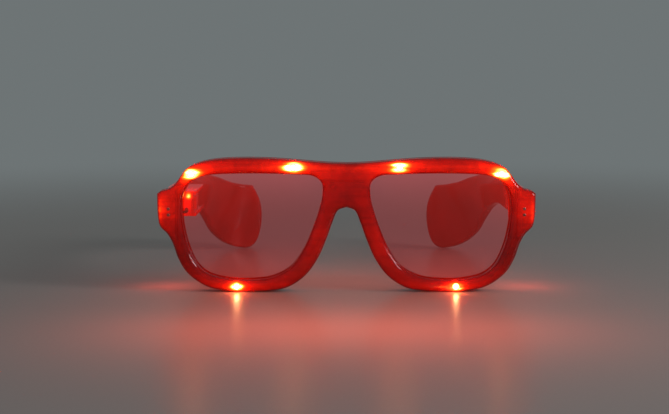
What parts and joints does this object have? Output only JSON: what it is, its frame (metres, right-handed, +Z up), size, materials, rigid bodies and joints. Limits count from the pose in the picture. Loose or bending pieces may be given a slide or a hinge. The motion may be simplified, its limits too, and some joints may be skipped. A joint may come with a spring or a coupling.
{
  "type": "light-up party glasses",
  "caption": "Light-up party glasses in clear red plastic, with lamps round the rims, pale lenses, folding temples, a battery box with a sliding door and a push button.",
  "frame": {"origin": "on the table, below the centre of the whole object's box, between the rims' bottoms and the ear ends", "axes": "+X to the right as seen from the front, along the lugs; +Y from the lenses towards the ears; +Z up"},
  "size_m": [0.15, 0.137, 0.0535],
  "materials": {
    "frame_red": "clear red, polished, lit from inside",
    "cover_red": "clear red, satin inside",
    "temple_red": "clear red, polished",
    "door_red": "red, fine spark texture",
    "button_red": "red, polished",
    "lens": "clear, pale pink tint",
    "lamp": "clear epoxy, lit",
    "wire_red": "insulated wire",
    "wire_black": "insulated wire",
    "screw_steel": "bright plated",
    "cell_steel": "polished can",
    "contact": "nickel plated",
    "board": "green resist",
    "resin": "black potting",
    "switch": "moulded"
  },
  "bodies": {
    "front": {"front_shell": "frame_red", "rear_cover": "cover_red", "lens_left": "lens", "lens_right": "lens", "lamp_outer_left": "lamp", "lamp_inner_left": "lamp", "lamp_bottom_left": "lamp", "lamp_outer_right": "lamp", "lamp_inner_right": "lamp", "lamp_bottom_right": "lamp", "wire_inner": "wire_red", "wire_outer": "wire_black", "rivet_upper_left": "screw_steel", "rivet_lower_left": "screw_steel", "rivet_upper_right": "screw_steel", "rivet_lower_right": "screw_steel", "bridge_screw_left": "screw_steel", "bridge_screw_right": "screw_steel", "hinge_screw_left": "screw_steel", "hinge_screw_right": "screw_steel", "hinge_lead": "wire_black"},
    "temple_left": {"temple_shell_left": "temple_red", "battery_cover": "cover_red", "cell_1": "cell_steel", "cell_2": "cell_steel", "cell_3": "cell_steel", "spring_contact": "contact", "plate_contact": "contact", "flasher_board": "board", "flasher_chip": "resin", "switch_body": "switch", "battery_lead_short": "wire_red", "battery_lead_long": "wire_black"},
    "temple_right": {"temple_shell_right": "temple_red", "temple_cover_right": "cover_red"},
    "button": {"push_button": "button_red"},
    "door": {"battery_door": "door_red"}
  },
  "joints": [
    {"name": "temple_left_fold", "type": "hinge", "parent": "front", "child": "temple_left", "pos_m": [-0.0688, -0.0535, 0.032], "axis": [0, 0, -1], "range_deg": [0, 78], "deforming": ["hinge_lead"]},
    {"name": "temple_right_fold", "type": "hinge", "parent": "front", "child": "temple_right", "pos_m": [0.0688, -0.0535, 0.032], "axis": [0, 0, 1], "range_deg": [0, 58]},
    {"name": "button_press", "type": "slide", "parent": "temple_left", "child": "button", "axis": [1, 0, 0], "range_m": [0, 0.0006], "stiffness_N_per_m": 800, "springref_m": -0.0006},
    {"name": "door_slide", "type": "slide", "parent": "temple_left", "child": "door", "axis": [0, 1, 0], "range_m": [0, 0.015]}
  ]
}
